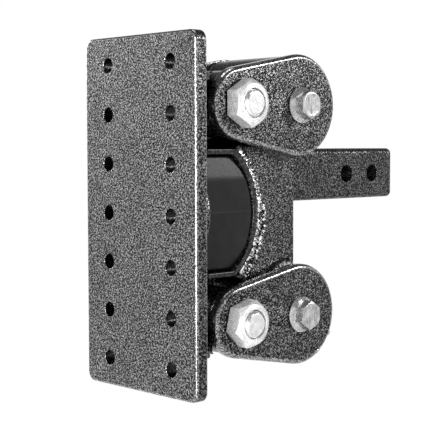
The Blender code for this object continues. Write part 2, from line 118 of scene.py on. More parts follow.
NUT_TURN_DEG = {"top": 0.0, "bottom": -14.0}
FLANGE_TURN_DEG = {"near": 0.0, "far": 5.0}
BOTTOM_FLANGE_TURN_DEG = -6.0
FLANGE_HEX_FLATS = 23.8
SCREW_FLATS = 18.0
SCREW_R = 6.3
SCREW_HOLE_R = 6.7
CUP_LIP = 5.0
CUSHION_BORE_END_X = 72.0
CUSHION_FLAT_Z = 31.0
CUSHION_LEAN = 4.0
SEAM_HIGH = 0.2
SEAM_HALF = 0.9
THREAD_PITCH = 3.175
THREAD_DEPTH = 1.3
CHAMFER_SLOPE = math.tan(math.radians(30))
NUT_BEVEL_SLOPE = math.tan(math.radians(40))

# Studio
FLOOR_Z = -480.0
FLOOR_R = 1150.0
WORLD_BAND = (0.38, 0.45)      # sine of the height at which the white horizon starts to dim, and is dim
WORLD_BRIGHT = 1.0
WORLD_DIM = 0.15

# Weld beads
BEAD_STEP = 0.6
BEAD_PITCH = 3.4
BEAD_ARC = 8
SPATTER = (                    # direction in degrees, then how far in from the edge and face, and radius
    (-28.0, 2.6, 0.3, 1.6), (-30.5, 1.0, 1.4, 1.1),
    (-56.0, 2.8, 0.3, 1.4), (-58.5, 1.2, 1.4, 1.0), (-51.5, 3.2, 0.2, 0.7),
)

# Camera: place in metres, direction and roll
CAMERA_PLACE = (-0.67325, -0.81906, 0.06138)
CAMERA_AIM = (0.68184, 0.72916, -0.05849)
CAMERA_ROLL_DEG = -0.15
CAMERA_LENS = 100.03


def box(node):
    low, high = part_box(node)
    return low / MM, high / MM


def centre(node):
    low, high = box(node)
    return (low + high) / 2


# Outlines: lists of (u, v) points -----------------------------------------------------------

def arc(centre_u, centre_v, radius, start_deg, end_deg, steps):
    points = []
    for i in range(steps + 1):
        angle = math.radians(start_deg + (end_deg - start_deg) * i / steps)
        points.append((centre_u + radius * math.cos(angle), centre_v + radius * math.sin(angle)))
    return points


def circle(centre_u, centre_v, radius, steps=ROUND):
    return arc(centre_u, centre_v, radius, 0, 360, steps)[:-1]


def round_hole(centre_u, centre_v, radius, steps=SMALL_ROUND):
    """An outline that can be drawn in, for holes and discs."""
    return lambda inset: circle(centre_u, centre_v, radius - inset, steps)


def rounded_rectangle(half_u, half_v, radius, centre_v=0.0):
    points = []
    for side_u, side_v, start in ((1, 1, 0), (-1, 1, 90), (-1, -1, 180), (1, -1, 270)):
        place = (side_u * (half_u - radius), centre_v + side_v * (half_v - radius))
        points += arc(place[0], place[1], radius, start, start + 90, CORNER_STEPS)
    return points


def offset(points, inset):
    """Draws a closed outline in, corner by corner, and keeps its number of points."""
    area = sum(a[0] * b[1] - b[0] * a[1] for a, b in zip(points, points[1:] + points[:1]))
    turn = 1 if area > 0 else -1
    moved = []
    for i, point in enumerate(points):
        before = Vector(points[i - 1]) - Vector(point)
        after = Vector(points[(i + 1) % len(points)]) - Vector(point)
        first = Vector((before.y, -before.x)).normalized()
        second = Vector((-after.y, after.x)).normalized()
        middle = first + second
        reach = turn * inset * 2 / max(middle.length_squared, 1.0)
        moved.append((point[0] + middle.x * reach, point[1] + middle.y * reach))
    return moved


def softened(points, radius, steps=4, least_deg=20.0):
    """Rounds the sharper corners of a closed outline."""
    soft = []
    for i, point in enumerate(points):
        here = Vector(point)
        before = Vector(points[i - 1]) - here
        after = Vector(points[(i + 1) % len(points)]) - here
        if math.degrees(math.pi - before.angle(after)) < least_deg:
            soft.append(point)
            continue
        start = here + before.normalized() * min(radius, before.length / 2)
        end = here + after.normalized() * min(radius, after.length / 2)
        for step in range(steps + 1):
            t = step / steps
            soft.append(tuple(start * (1 - t) ** 2 + here * 2 * t * (1 - t) + end * t * t))
    return soft


def divided(points, longest):
    """Cuts the sides of a closed outline into steps no longer than longest."""
    cuts = []
    for start, end in zip(points, points[1:] + points[:1]):
        start, end = Vector(start), Vector(end)
        count = max(1, math.ceil((end - start).length / longest))
        cuts += [tuple(start.lerp(end, step / count)) for step in range(count)]
    return cuts


def mirrored(half_outline):
    return half_outline + [(u, -v) for u, v in reversed(half_outline)]


def rim(low, high, low_r, high_r, steps=RIM_STEPS):
    """(level, inset) from one face to the other, with the edge of each face rounded."""
    levels = []
    for face, radius, sign in ((low, low_r, 1), (high, high_r, -1)):
        if radius == 0:
            levels.append((face, 0.0))
            continue
        curve = []
        for i in range(steps + 1):
            angle = math.radians(90 * i / steps)
            curve.append((face + sign * radius * (1 - math.sin(angle)), radius * (1 - math.cos(angle))))
        levels += reversed(curve) if sign > 0 else curve
    return levels


# Axes: how an outline's (u, v) and its level become x, y, z

def along_x(u, v, level):
    return Vector((level, u, v))


def along_y(u, v, level):
    return Vector((u, level, v))


def along_z(u, v, level):
    return Vector((u, v, level))


class Shape:
    """A mesh being drawn, in millimetres."""

    def __init__(self):
        self.bm = bmesh.new()

    def ring(self, points):
        return [self.bm.verts.new(Vector(point) * MM) for point in points]

    def skin(self, rings):
        faces = []
        for first, second in zip(rings, rings[1:]):
            for i in range(len(first)):
                faces.append(self.bm.faces.new((first[i - 1], first[i], second[i], second[i - 1])))
        return faces

    def fill(self, rings):
        """One flat face inside the first ring; the other rings are holes in it."""
        if len(rings) == 1:
            self.bm.faces.new(rings[0])
            return
        edges = []
        for ring in rings:
            edges += [self.bm.edges.get((ring[i - 1], ring[i])) for i in range(len(ring))]
        bmesh.ops.triangle_fill(self.bm, use_beauty=True, use_dissolve=False, edges=edges)

    def solid(self, rings):
        """Rings joined in turn, with a flat face on the first and the last."""
        self.skin(rings)
        self.fill([rings[0]])
        self.fill([rings[-1]])

    def plate(self, outline, holes, low, high, place, rims=(SMALL_RIM, SMALL_RIM), hole_rims=(0.5, 0.5),
              side_material=0, rim_material=0):
        """A plate between two levels. outline and holes each take an inset. The walls of its holes
        take the object's second material; its sides and rounded rims take the ones given."""
        ends = []
        drawn = [(outline, 1, rims)] + [(hole, -1, hole_rims) for hole in holes]
        for draw, sign, radii in drawn:
            rings = []
            for level, inset in rim(low, high, *radii):
                rings.append(self.ring([place(u, v, level) for u, v in draw(sign * inset)]))
            walls = self.skin(rings)
            middle = len(rings) // 2 - 1
            for i, face in enumerate(walls):
                straight = i // len(rings[0]) == middle
                if sign > 0:
                    face.material_index = side_material if straight else rim_material
                elif straight:
                    face.material_index = 1
            ends.append((rings[0], rings[-1]))
        self.fill([first for first, last in ends])
        self.fill([last for first, last in ends])
        return self

    def turned(self, profile, centre_u, centre_v, place, steps=ROUND, closed=False):
        """Turns (level, radius) points about an axis; closed joins the last to the first."""
        rings = []
        for level, radius in profile:
            points = circle(centre_u, centre_v, radius, steps)
            rings.append(self.ring([place(u, v, level) for u, v in points]))
        if closed:
            self.skin(rings + rings[:1])
        else:
            self.solid(rings)
        return self

    def tube(self, outer_r, inner_r, low, high, centre_u, centre_v, place, edge=0.8, steps=ROUND):
        profile = [(level, outer_r - inset) for level, inset in rim(low, high, edge, edge, 3)]
        profile += [(level, inner_r + inset) for level, inset in reversed(rim(low, high, edge, edge, 3))]
        return self.turned(profile, centre_u, centre_v, place, steps, closed=True)


def make_object(name, shape, material):
    bmesh.ops.recalc_face_normals(shape.bm, faces=shape.bm.faces)
    mesh = bpy.data.meshes.new(name)
    shape.bm.to_mesh(mesh)
    shape.bm.free()
    mesh.shade_smooth()
    mesh.set_sharp_from_angle(angle=math.radians(SHARP_DEG))
    mesh.materials.append(material)
    piece = bpy.data.objects.new(name, mesh)
    bpy.context.scene.collection.objects.link(piece)
    weighted = piece.modifiers.new("weighted_normals", "WEIGHTED_NORMAL")
    weighted.keep_sharp = True
    return piece


def stand_in(node, shape, material):
    """The finished piece shown in place of a CAD node."""
    piece = make_object(node + ".finish", shape, material)
    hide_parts(node)
    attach(piece, frame["nodes"][node]["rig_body"])
    return piece


def extra(name, shape, material, like):
    """A piece with no CAD node of its own, on the body of the node it sits on."""
    piece = make_object(name, shape, material)
    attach(piece, frame["nodes"][like]["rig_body"])
    return piece


def cut(piece, name, shape):
    """Subtracts a shape from a piece for good."""
    cutter = make_object(name, shape, piece.data.materials[0])
    modifier = piece.modifiers.new("cut", "BOOLEAN")
    modifier.operation = "DIFFERENCE"
    modifier.solver = "EXACT"
    modifier.object = cutter
    weighted = piece.modifiers["weighted_normals"]
    piece.modifiers.remove(weighted)
    cutter.modifiers.clear()
    bpy.context.view_layer.update()
    result = bpy.data.meshes.new_from_object(piece.evaluated_get(bpy.context.evaluated_depsgraph_get()))
    piece.modifiers.clear()
    piece.data = result
    result.set_sharp_from_angle(angle=math.radians(SHARP_DEG))
    bpy.data.objects.remove(cutter)
    piece.modifiers.new("weighted_normals", "WEIGHTED_NORMAL").keep_sharp = True


# Materials ---------------------------------------------------------------------------------

class Nodes:
    """A short way to write a material's node tree."""

    def __init__(self, name, metallic, roughness):
        self.material = bpy.data.materials.new(name)
        self.material.use_nodes = True
        self.tree = self.material.node_tree
        self.shader = self.tree.nodes["Principled BSDF"]
        self.shader.inputs["Metallic"].default_value = metallic
        self.shader.inputs["Roughness"].default_value = roughness
        self.place = self.add("ShaderNodeTexCoord").outputs["Object"]

    def add(self, kind, **values):
        node = self.tree.nodes.new(kind)
        for key, value in values.items():
            setattr(node, key, value)
        return node

    def link(self, source, target):
        self.tree.links.new(source, target)

    def stretched(self, scale, turn=(0.0, 0.0, 0.0)):
        mapping = self.add("ShaderNodeMapping")
        mapping.inputs["Scale"].default_value = scale
        mapping.inputs["Rotation"].default_value = turn
        self.link(self.place, mapping.inputs["Vector"])
        return mapping.outputs["Vector"]

    def noise(self, size_mm, detail=2.0, distortion=0.0, vector=None):
        node = self.add("ShaderNodeTexNoise")
        node.inputs["Scale"].default_value = 1 / (size_mm * MM)
        node.inputs["Detail"].default_value = detail
        node.inputs["Distortion"].default_value = distortion
        self.link(vector or self.place, node.inputs["Vector"])
        return node.outputs["Fac"]

    def cells(self, size_mm, feature="F1", vector=None):
        node = self.add("ShaderNodeTexVoronoi", feature=feature)
        node.inputs["Scale"].default_value = 1 / (size_mm * MM)
        self.link(vector or self.place, node.inputs["Vector"])
        return node.outputs["Distance"]

    def ramp(self, source, *stops):
        node = self.add("ShaderNodeValToRGB")
        elements = node.color_ramp.elements
        while len(elements) < len(stops):
            elements.new(0.5)
        for element, (position, value) in zip(elements, stops):
            element.position = position
            colour = value if isinstance(value, tuple) else (value, value, value)
            element.color = (*colour, 1.0)
        self.link(source, node.inputs["Fac"])
        return node.outputs["Color"]

    def mix(self, share, first, second, blend="MIX"):
        node = self.add("ShaderNodeMix", data_type="RGBA", blend_type=blend)
        for name, value in (("Factor_Float", share), ("A_Color", first), ("B_Color", second)):
            socket = next(s for s in node.inputs if s.identifier == name)
            if isinstance(value, (int, float)):
                socket.default_value = value
            elif isinstance(value, tuple):
                socket.default_value = (*value, 1.0)
            else:
                self.link(value, socket)
        return next(s for s in node.outputs if s.identifier == "Result_Color")

    def bump(self, height, distance_mm, strength=1.0, under=None):
        node = self.add("ShaderNodeBump")
        node.inputs["Distance"].default_value = distance_mm * MM
        node.inputs["Strength"].default_value = strength
        self.link(height, node.inputs["Height"])
        if under is not None:
            self.link(under, node.inputs["Normal"])
        return node.outputs["Normal"]

    def finish(self, colour, roughness=None, normal=None, metallic=None):
        self.link(colour, self.shader.inputs["Base Color"])
        if roughness is not None:
            self.link(roughness, self.shader.inputs["Roughness"])
        if metallic is not None:
            self.link(metallic, self.shader.inputs["Metallic"])
        if normal is not None:
            self.link(normal, self.shader.inputs["Normal"])
        return self.material


# Finishes ----------------------------------------------------------------------------------

def hammertone(name, dark, silver, low=0.46, high=0.6, fleck_mm=1.35, bump_mm=0.22, roughness=0.34,
               coat=0.08):
    """Powder coat: raised silver grains that fade into a dark ground."""
    n = Nodes(name, 0.92, roughness)
    grain = n.noise(fleck_mm, detail=2.5, distortion=0.7)
    cloud = n.noise(24.0, detail=3.0)
    shade = n.ramp(cloud, (0.3, 0.78), (0.7, 1.0))
    middle = (low + high) / 2
    flake = n.ramp(grain, (low, dark), (middle, silver * 0.25), (high, silver))
    colour = n.mix(1.0, flake, shade, "MULTIPLY")
    gloss = n.ramp(grain, (low, roughness + 0.08), (high, roughness - 0.08))
    fine = n.noise(0.8, detail=1.0)
    normal = n.bump(fine, 0.03, 0.5)
    normal = n.bump(grain, bump_mm, 1.0, normal)
    n.shader.inputs["Coat Weight"].default_value = coat
    n.shader.inputs["Coat Roughness"].default_value = 0.2
    return n.finish(colour, gloss, normal)


def thin_coat(name):
    """The same coat where it flowed smooth: barrels, plain welds and the rubber's cup."""
    n = Nodes(name, 0.35, 0.22)
    grain = n.noise(2.6, detail=2.0, distortion=0.6)
    cloud = n.noise(15.0, detail=3.0)
    shade = n.ramp(cloud, (0.35, 0.4), (0.65, 1.0))
    flake = n.ramp(grain, (0.5, 0.004), (0.68, 0.1))
    colour = n.mix(1.0, flake, shade, "MULTIPLY")
    gloss = n.ramp(grain, (0.35, 0.16), (0.65, 0.3))
    normal = n.bump(grain, 0.16, 0.8)
    return n.finish(colour, gloss, normal)


def weld_sheen_coat(name):
    # The light grey on the grain's peaks is a painted sheen on the coated bead. Its bumps and roughness are
    # the bead's own.
    n = Nodes(name, 0.85, 0.22)
    grain = n.noise(3.4, detail=3.0, distortion=1.0)
    colour = n.ramp(grain, (0.44, 0.01), (0.5, 0.16), (0.57, 0.8))
    gloss = n.ramp(grain, (0.4, 0.3), (0.6, 0.18))
    normal = n.bump(grain, 0.8, 1.0)
    return n.finish(colour, gloss, normal)


def zinc(name, roughness, low, high, metallic, scratched=0.0):
    n = Nodes(name, metallic, roughness)
    cloud = n.noise(5.0, detail=4.0)
    colour = n.ramp(cloud, (0.38, (low, low, low * 1.02)), (0.62, (high, high, high * 1.01)))
    fine = n.noise(0.9, detail=4.0)
    gloss = n.ramp(fine, (0.3, roughness - 0.06), (0.7, roughness + 0.1))
    normal = n.bump(fine, 0.04, 0.7)
    if scratched:
        for turn in (0.3, 1.9):
            lines = n.noise(1.3, detail=2.0, vector=n.stretched((1.0, 1.0, 0.12), (0.0, turn, 0.0)))
            marks = n.ramp(lines, (0.56, 1.0), (0.66, 1.0 - scratched))
            colour = n.mix(1.0, colour, marks, "MULTIPLY")
            normal = n.bump(lines, 0.12, scratched, normal)
    return n.finish(colour, gloss, normal)


def moulded_rubber(name):
    n = Nodes(name, 0.0, 0.32)
    n.shader.inputs["Specular IOR Level"].default_value = 0.17
    cloud = n.noise(20.0, detail=5.0)
    colour = n.ramp(cloud, (0.3, (0.005, 0.005, 0.0055)), (0.7, (0.012, 0.012, 0.0125)))
    speck = n.ramp(n.noise(1.6, detail=2.0), (0.66, 0.0), (0.74, 0.6))
    colour = n.mix(speck, colour, (0.03, 0.03, 0.03))
    grain = n.noise(1.0, detail=2.0)
    gloss = n.ramp(grain, (0.3, 0.26), (0.7, 0.4))
    normal = n.bump(grain, 0.09, 0.9)
    return n.finish(colour, gloss, normal)


def turned_steel(name):
    n = Nodes(name, 1.0, 0.35)
    rings = n.noise(2.5, detail=5.0, vector=n.stretched((1.0, 0.08, 1.0)))
    colour = n.ramp(rings, (0.3, (0.28, 0.28, 0.29)), (0.7, (0.46, 0.46, 0.47)))
    gloss = n.ramp(rings, (0.3, 0.28), (0.7, 0.45))
    return n.finish(colour, gloss, n.bump(rings, 0.04, 0.6))


def bronze(name):
    n = Nodes(name, 1.0, 0.35)
    cloud = n.noise(4.0, detail=4.0)
    colour = n.ramp(cloud, (0.3, (0.42, 0.28, 0.11)), (0.7, (0.68, 0.5, 0.22)))
    pores = n.cells(0.9)
    gloss = n.ramp(pores, (0.1, 0.5), (0.5, 0.3))
    return n.finish(colour, gloss, n.bump(pores, 0.05, 0.5))


def nylon(name):
    n = Nodes(name, 0.0, 0.5)
    cloud = n.noise(6.0, detail=3.0)
    colour = n.ramp(cloud, (0.3, (0.72, 0.71, 0.64)), (0.7, (0.85, 0.84, 0.79)))
    fine = n.noise(0.7, detail=2.0)
    return n.finish(colour, n.ramp(fine, (0.3, 0.4), (0.7, 0.58)), n.bump(fine, 0.03, 0.4))


# One powder coat throughout. Its silver is set lighter on the mounting plate and darker on the links, frame
# and shank: painted light and shade for how each part is lit.
plate_lit_coat = hammertone("plate_hammertone_lit", 0.001, 0.44, 0.46, 0.6)
link_shaded_coat = hammertone("link_hammertone_shaded", 0.001, 0.34, 0.49, 0.61)
shank_shaded_coat = hammertone("shank_hammertone_shaded", 0.001, 0.22, 0.48, 0.61)
smooth_coat = thin_coat("thin_coat")
# A near-black copy of the same coat for the walls of holes: painted shade inside the holes.
hole_wall_shade_coat = hammertone("hole_wall_shade_coat", 0.002, 0.05)
# A lighter copy of the same coat for rounded rims and link edges: painted highlight along the edges. Its
# lower roughness, finer bump and clear coat are the finish's own.
rim_highlight_coat = hammertone("rim_hammertone_painted_highlight", 0.03, 0.5, 0.4, 0.6, 1.5, 0.08, 0.22, 0.8)
# A darker copy of the same coat for the mounting plate's sides: painted shade.
side_shade_coat = hammertone("side_hammertone_painted_shade", 0.001, 0.26, 0.47, 0.61)
bead_sheen_coat = weld_sheen_coat("weld_sheen_coat")
bright_zinc = zinc("bright_zinc", 0.26, 0.57, 0.74, 0.56)
bolt_zinc = zinc("bolt_zinc", 0.22, 0.6, 0.76, 0.85)
worn_zinc = zinc("worn_zinc", 0.24, 0.36, 0.55, 0.85, 0.4)
black_rubber = moulded_rubber("moulded_rubber")
axle_finish = turned_steel("turned_steel")
bushing_finish = bronze("oiled_bronze")
washer_finish = nylon("natural_nylon")


# Mounting plate and its bracket ----------------------------------------------------------------

def opening_centres(start):
    found = []
    for opening in frame["record"]["physics"]["openings"]:
        if opening["name"].startswith(start):
            low, high = (Vector(corner) / MM for corner in opening["box_m"])
            found.append((low + high) / 2)
    return found


def make_mounting_plate():
    low, high = box("mounting_plate")
    holes = [round_hole(c.y, c.z, PLATE_HOLE_R) for c in opening_centres("plate_hole")]

    def outline(inset):
        return rounded_rectangle(high.y - inset, high.z - inset, PLATE_CORNER_R - inset)

    shape = Shape().plate(outline, holes, low.x, high.x, along_x, (PLATE_RIM, 1.2), (0.7, 0.7),
                          side_material=3, rim_material=2)
    materials = stand_in("mounting_plate", shape, plate_lit_coat).data.materials
    # Hole walls, rims and sides take darker and lighter copies of the coat: painted shade in the holes and
    # on the sides, painted highlight on the rims.
    for coat in (hole_wall_shade_coat, rim_highlight_coat, side_shade_coat):
        materials.append(coat)


def make_bracket():
    barrel = centre("pivot_barrel_top")
    barrel_r = box("pivot_barrel_top")[1].z - barrel.z + GAP
    disc_x = box("strike_disc")[0].x - GAP
    for side in ("near", "far"):
        low, high = box("bracket_ear_" + side)
        top_deg = math.degrees(math.asin((high.z - barrel.z) / barrel_r))
        ear = arc(barrel.x, barrel.z, barrel_r, 180 - top_deg, 210, 24)
        points = mirrored([(low.x, high.z)] + ear + [(disc_x, EAR_FRONT_Z)])
        shape = Shape().plate(lambda inset: offset(points, inset), [], low.y, high.y, along_y)
        stand_in("bracket_ear_" + side, shape, smooth_coat)
    for side in ("top", "bottom"):
        low, high = box("plate_gusset_" + side)
        half = [(low.x, GUSSET_HALF_WIDE), *GUSSET_TAPER, (high.x, GUSSET_HALF_NARROW)]
        points = softened(mirrored(half), 5.0)
        shape = Shape().plate(lambda inset: offset(points, inset), [], low.z, high.z, along_z)
        stand_in("plate_gusset_" + side, shape, smooth_coat)
    low, high = box("strike_disc")
    shape = Shape()
    profile = [(level, high.z - inset) for level, inset in rim(low.x, high.x, 1.0, 1.0)]
    shape.turned(profile, 0, 0, along_x)
    stand_in("strike_disc", shape, link_shaded_coat)


def make_pivot_barrels():
    for side in ("top", "bottom"):
        name = "pivot_barrel_" + side
        low, high = box(name)
        mid = (low + high) / 2
        bore = box("pivot_bushing_" + side + "_near")[1].z - mid.z + GAP
        shape = Shape().tube(high.z - mid.z, bore, low.y, high.y, mid.x, mid.z, along_y, 1.2)
        stand_in(name, shape, smooth_coat)
        for end in ("near", "far"):
            name = "pivot_bushing_" + side + "_" + end
            low, high = box(name)
            shape = Shape()
            outer, inner = high.z - mid.z, BUSHING_BORE_R
            middle = (low.y + high.y) / 2
            profile = [(low.y + 1, outer), (high.y - 1, outer), (high.y, outer - 1), (high.y, inner + 1),
                       (high.y - 1, inner), (middle + 3, inner), (middle + 2, inner + 0.8),
                       (middle - 2, inner + 0.8), (middle - 3, inner), (low.y + 1, inner),
                       (low.y, inner + 1), (low.y, outer - 1)]
            shape.turned(profile, mid.x, mid.z, along_y, closed=True)
            stand_in(name, shape, bushing_finish)
            name = "thrust_washer_" + side + "_" + end
            low, high = box(name)
            shape = Shape().tube(high.z - mid.z, THRUST_WASHER_BORE_R, low.y, high.y, mid.x, mid.z, along_y,
                                 0.15)
            stand_in(name, shape, washer_finish)


# Links and fasteners -----------------------------------------------------------------------------

def link_outline(pivot, eye, inset):
    """Two circles, each (u, v, radius), and their common tangents."""
    lean = math.degrees(math.asin((eye[2] - pivot[2]) / (eye[0] - pivot[0])))
    rear = arc(eye[0], eye[1], eye[2] - inset, -90 - lean, 90 + lean, 56)
    front = arc(pivot[0], pivot[1], pivot[2] - inset, 90 + lean, 270 - lean, 44)
    return rear + front


def make_links():
    for side in ("top", "bottom"):
        front = centre(side + "_lock_nut")
        rear = centre(side + "_axle")
        for end in ("near", "far"):
            name = side + "_link_" + end
            low, high = box(name)
            pivot = (front.x, front.z, front.x - low.x)
            eye = (rear.x, rear.z, high.x - rear.x)
            holes = [round_hole(front.x, front.z, BOLT_HOLE_R),
                     round_hole(rear.x, rear.z, FLANGE_BOLT_HOLE_R)]
            rims = (LINK_RIM, LINK_BACK_RIM) if end == "near" else (LINK_BACK_RIM, LINK_RIM)
            shape = Shape()
            shape.plate(lambda inset: link_outline(pivot, eye, inset), holes, low.y, high.y, along_y, rims,
                        side_material=2, rim_material=2)
            materials = stand_in(name, shape, link_shaded_coat).data.materials
            # Hole walls take a near-black copy of the coat, which is painted shade. Sides and rims take a
            # lighter copy, which is painted highlight.
            materials.append(hole_wall_shade_coat)
            materials.append(rim_highlight_coat)


def hex_reach(angle, flats, turn):
    """How far a hexagon's side is from its centre in a direction."""
    from_flat = (angle - turn + math.pi / 6) % (math.pi / 3) - math.pi / 6
    return flats / 2 / math.cos(from_flat)


def hex_ring(shape, mid, flats, turn, level, hand, bevel=None, slope=CHAMFER_SLOPE):
    """A ring on a hexagon. A bevel is the cone (level, radius) that cuts its corners back."""
    points = []
    count = 6 * HEX_STEPS
    for i in range(count):
        angle = 2 * math.pi * i / count + turn
        reach = hex_reach(angle, flats, turn)
        height = level
        if bevel is not None:
            height = bevel[0] - (reach - bevel[1]) * slope
        u, v = mid.x + reach * math.cos(angle), mid.z + reach * math.sin(angle)
        points.append(along_y(u, v, hand * height))
    return shape.ring(points)


def round_ring(shape, mid, radius, turn, level, hand):
    count = 6 * HEX_STEPS
    points = []
    for i in range(count):
        angle = 2 * math.pi * i / count + turn
        u, v = mid.x + radius * math.cos(angle), mid.z + radius * math.sin(angle)
        points.append(along_y(u, v, hand * level))
    return shape.ring(points)


def make_lock_nuts():
    """Hexagon nuts with both faces bevelled and a raised locking collar."""
    for side, turn_deg in NUT_TURN_DEG.items():
        turn = math.radians(turn_deg)
        low, high = box(side + "_lock_nut")
        mid = (low + high) / 2
        base, end = -high.y, -low.y
        inset_r = NUT_FLATS / 2 - 0.9
        shape = Shape()
        rings = [
            round_ring(shape, mid, inset_r, turn, base, -1),
            hex_ring(shape, mid, NUT_FLATS, turn, base + 0.8, -1),
            hex_ring(shape, mid, NUT_FLATS, turn, 0, -1, (end - 1.6, inset_r), NUT_BEVEL_SLOPE),
            round_ring(shape, mid, inset_r, turn, end - 1.6, -1),
            round_ring(shape, mid, 17.2, turn, end - 1.1, -1),
            round_ring(shape, mid, 15.6, turn, end - 0.7, -1),
            round_ring(shape, mid, 15.3, turn, end - 0.2, -1),
            round_ring(shape, mid, 14.9, turn, end, -1),
            round_ring(shape, mid, 13.9, turn, end, -1),
            round_ring(shape, mid, 13.2, turn, end - 0.7, -1),
            round_ring(shape, mid, 13.0, turn, end - 2.0, -1),
            round_ring(shape, mid, 13.0, turn, base + 1.2, -1),
            round_ring(shape, mid, 14.2, turn, base, -1),
        ]
        shape.skin(rings + rings[:1])
        stand_in(side + "_lock_nut", shape, bright_zinc)


def thread_radius(level, angle, radius):
    phase = (level / THREAD_PITCH + angle / (2 * math.pi)) % 1
    return radius - THREAD_DEPTH * abs(2 * phase - 1)


def make_pivot_bolts():
    """Bolts with a bevelled head and washer face on the far side, and a thread under the nut."""
    for side in ("top", "bottom"):
        mid = centre(side + "_pivot_bolt")
        low, high = box(side + "_pivot_bolt")
        mid.x, mid.z = centre(side + "_lock_nut").x, centre(side + "_lock_nut").z
        radius = BOLT_R
        washer = box(side + "_bolt_washer")[1].y
        thread_end = low.y + THREAD_LENGTH
        shape = Shape()
        rings = [round_ring(shape, mid, r, 0, level, 1) for level, r in
                 ((low.y, 9.2), (low.y + 0.25, 9.9))]
        steps = 44
        for step in range(steps + 1):
            level = low.y + 1.0 + (thread_end - low.y - 1.0) * step / steps
            points = []
            for i in range(6 * HEX_STEPS):
                angle = 2 * math.pi * i / (6 * HEX_STEPS)
                tip = radius - 2.6 + (level - low.y - 1.0) * 1.1
                r = min(thread_radius(level, angle, radius), tip) if step < steps else radius
                points.append(along_y(mid.x + r * math.cos(angle), mid.z + r * math.sin(angle), level))
            rings.append(shape.ring(points))
        rings.append(round_ring(shape, mid, radius, 0, washer + GAP - 1.5, 1))
        rings.append(round_ring(shape, mid, radius + 0.3, 0, washer + GAP, 1))
        face_r = NUT_FLATS / 2 - 0.6
        rings.append(round_ring(shape, mid, face_r, 0, washer + GAP, 1))
        rings.append(round_ring(shape, mid, face_r, 0, washer + GAP + 0.5, 1))
        rings.append(hex_ring(shape, mid, NUT_FLATS, 0, washer + GAP + 0.7, 1))
        rings.append(hex_ring(shape, mid, NUT_FLATS, 0, 0, 1, (high.y, face_r)))
        rings.append(round_ring(shape, mid, face_r, 0, high.y, 1))
        rings.append(round_ring(shape, mid, 11.0, 0, high.y, 1))
        rings.append(round_ring(shape, mid, 10.0, 0, high.y - 0.3, 1))
        shape.solid(rings)
        stand_in(side + "_pivot_bolt", shape, bolt_zinc)
        low, high = box(side + "_bolt_washer")
        shape = Shape().tube(high.z - mid.z, BOLT_HOLE_R, low.y, high.y, mid.x, mid.z, along_y, 0.5)
        stand_in(side + "_bolt_washer", shape, bright_zinc)


def make_flange_bolts():
    for side in ("top", "bottom"):
        for end, hand in (("near", -1), ("far", 1)):
            name = side + "_flange_bolt_" + end
            low, high = box(name)
            mid = (low + high) / 2
            inner, outer = (-high.y, -low.y) if end == "near" else (low.y, high.y)
            turn = math.radians(FLANGE_TURN_DEG[end])
            if side == "bottom":
                turn += math.radians(BOTTOM_FLANGE_TURN_DEG)
            flange_r = high.z - mid.z
            seat = abs(box(side + "_link_" + end)[0 if end == "near" else 1].y) + GAP
            crown_r = FLANGE_HEX_FLATS / 2 - 0.5
            shape = Shape()
            rings = [round_ring(shape, mid, r, turn, level, hand) for level, r in (
                (inner, FLANGE_BOLT_R - 1.5), (inner + 1.5, FLANGE_BOLT_R), (seat - 0.4, FLANGE_BOLT_R),
                (seat, 8.2), (seat, flange_r - 0.4),
                (seat + 0.4, flange_r), (seat + 1.3, flange_r), (seat + 1.8, flange_r - 0.5),
                (seat + 3.0, FLANGE_HEX_FLATS / 2 + 2.6))]
            rings.append(hex_ring(shape, mid, FLANGE_HEX_FLATS, turn, seat + 4.2, hand))
            rings.append(hex_ring(shape, mid, FLANGE_HEX_FLATS, turn, 0, hand, (outer, crown_r)))
            rings += [round_ring(shape, mid, r, turn, level, hand) for level, r in (
                (outer, crown_r), (outer - 0.05, 9.8), (outer - 0.35, 8.6), (outer - 0.4, 4.0))]
            shape.solid(rings)
            stand_in(name, shape, worn_zinc)


# Rear pivots ---------------------------------------------------------------------------------------

def make_torsion_pivots():
    for side in ("top", "bottom"):
        low, high = box("torsion_barrel_" + side)
        mid = (low + high) / 2
        rubber_high = box("torsion_rubber_" + side)[1]
        bore = rubber_high.z - mid.z + GAP
        shape = Shape().tube(high.z - mid.z, bore, low.y, high.y, mid.x, mid.z, along_y, 1.5)
        # The upper barrel takes the darker smooth coat where the lower one takes the hammertone: painted
        # shade for the shadow under the top link.
        stand_in("torsion_barrel_" + side, shape, link_shaded_coat if side == "bottom" else smooth_coat)

        axle_high = box(side + "_axle")[1]
        axle_r = axle_high.z - mid.z
        outer, inner = bore - GAP, axle_r + GAP
        half = rubber_high.y
        middle = (outer + inner) / 2
        profile = []
        for hand in (-1, 1):
            curve = [(half, outer), (half - 2.5, (outer + middle) / 2), (half - 3.5, middle),
                     (half - 2.5, (inner + middle) / 2), (half, inner)]
            curve = [(hand * level, radius) for level, radius in curve]
            profile += curve if hand < 0 else list(reversed(curve))
        shape = Shape().turned(profile, mid.x, mid.z, along_y, closed=True)
        stand_in("torsion_rubber_" + side, shape, black_rubber)

        end = axle_high.y
        tap = FLANGE_BOLT_HOLE_R
        profile = [(-end + TAP_DEPTH, tap), (-end + 1, tap), (-end, tap + 1), (-end, axle_r - 1),
                   (-end + 1, axle_r), (end - 1, axle_r), (end, axle_r - 1), (end, tap + 1),
                   (end - 1, tap), (end - TAP_DEPTH, tap)]
        shape = Shape().turned(profile, mid.x, mid.z, along_y)
        stand_in(side + "_axle", shape, axle_finish)


# Truck frame ---------------------------------------------------------------------------------------

